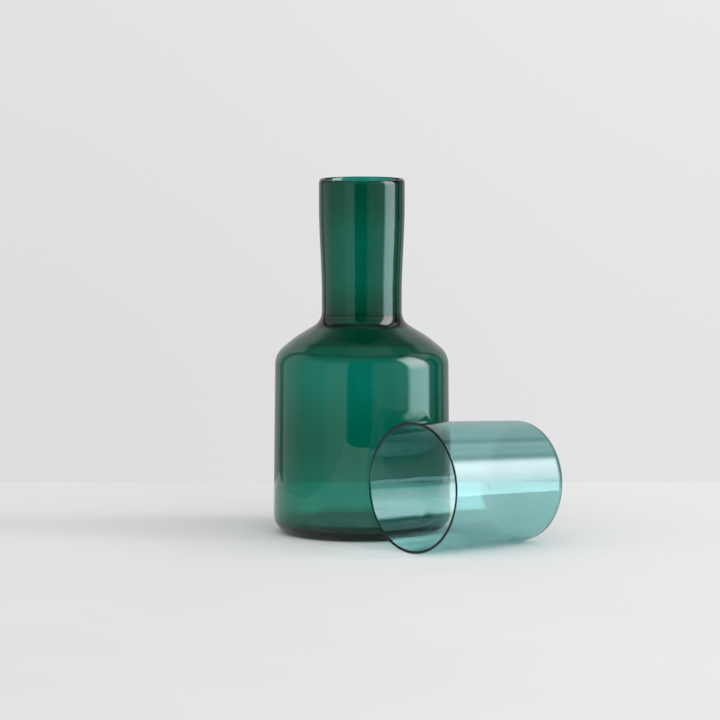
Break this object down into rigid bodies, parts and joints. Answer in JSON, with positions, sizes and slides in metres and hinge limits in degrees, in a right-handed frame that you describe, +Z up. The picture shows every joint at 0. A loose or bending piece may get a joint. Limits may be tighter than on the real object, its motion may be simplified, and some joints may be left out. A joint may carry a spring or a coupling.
{
  "type": "carafe with tumbler",
  "caption": "Blown-glass water carafe with a straight body, sloping shoulder and waisted neck, and the tapered tumbler that caps its neck, laid on its side in front of it.",
  "frame": {"origin": "centre of the carafe's foot, on the surface that it stands on", "axes": "+Z up along the carafe's axis; the tumbler lies along X in front of the carafe (towards -Y), its mouth towards -X"},
  "size_m": [0.1099, 0.1882, 0.22],
  "materials": {
    "green_glass": "clear deep green, fire-polished",
    "teal_glass": "clear pale teal, fire-polished"
  },
  "bodies": {
    "carafe": {"carafe": "green_glass"},
    "tumbler": {"tumbler": "teal_glass"}
  },
  "joints": [
    {"name": "tumbler_lift", "type": "slide", "parent": "carafe", "child": "tumbler", "axis": [0, 0, 1], "range_m": [0, 0.25]}
  ]
}
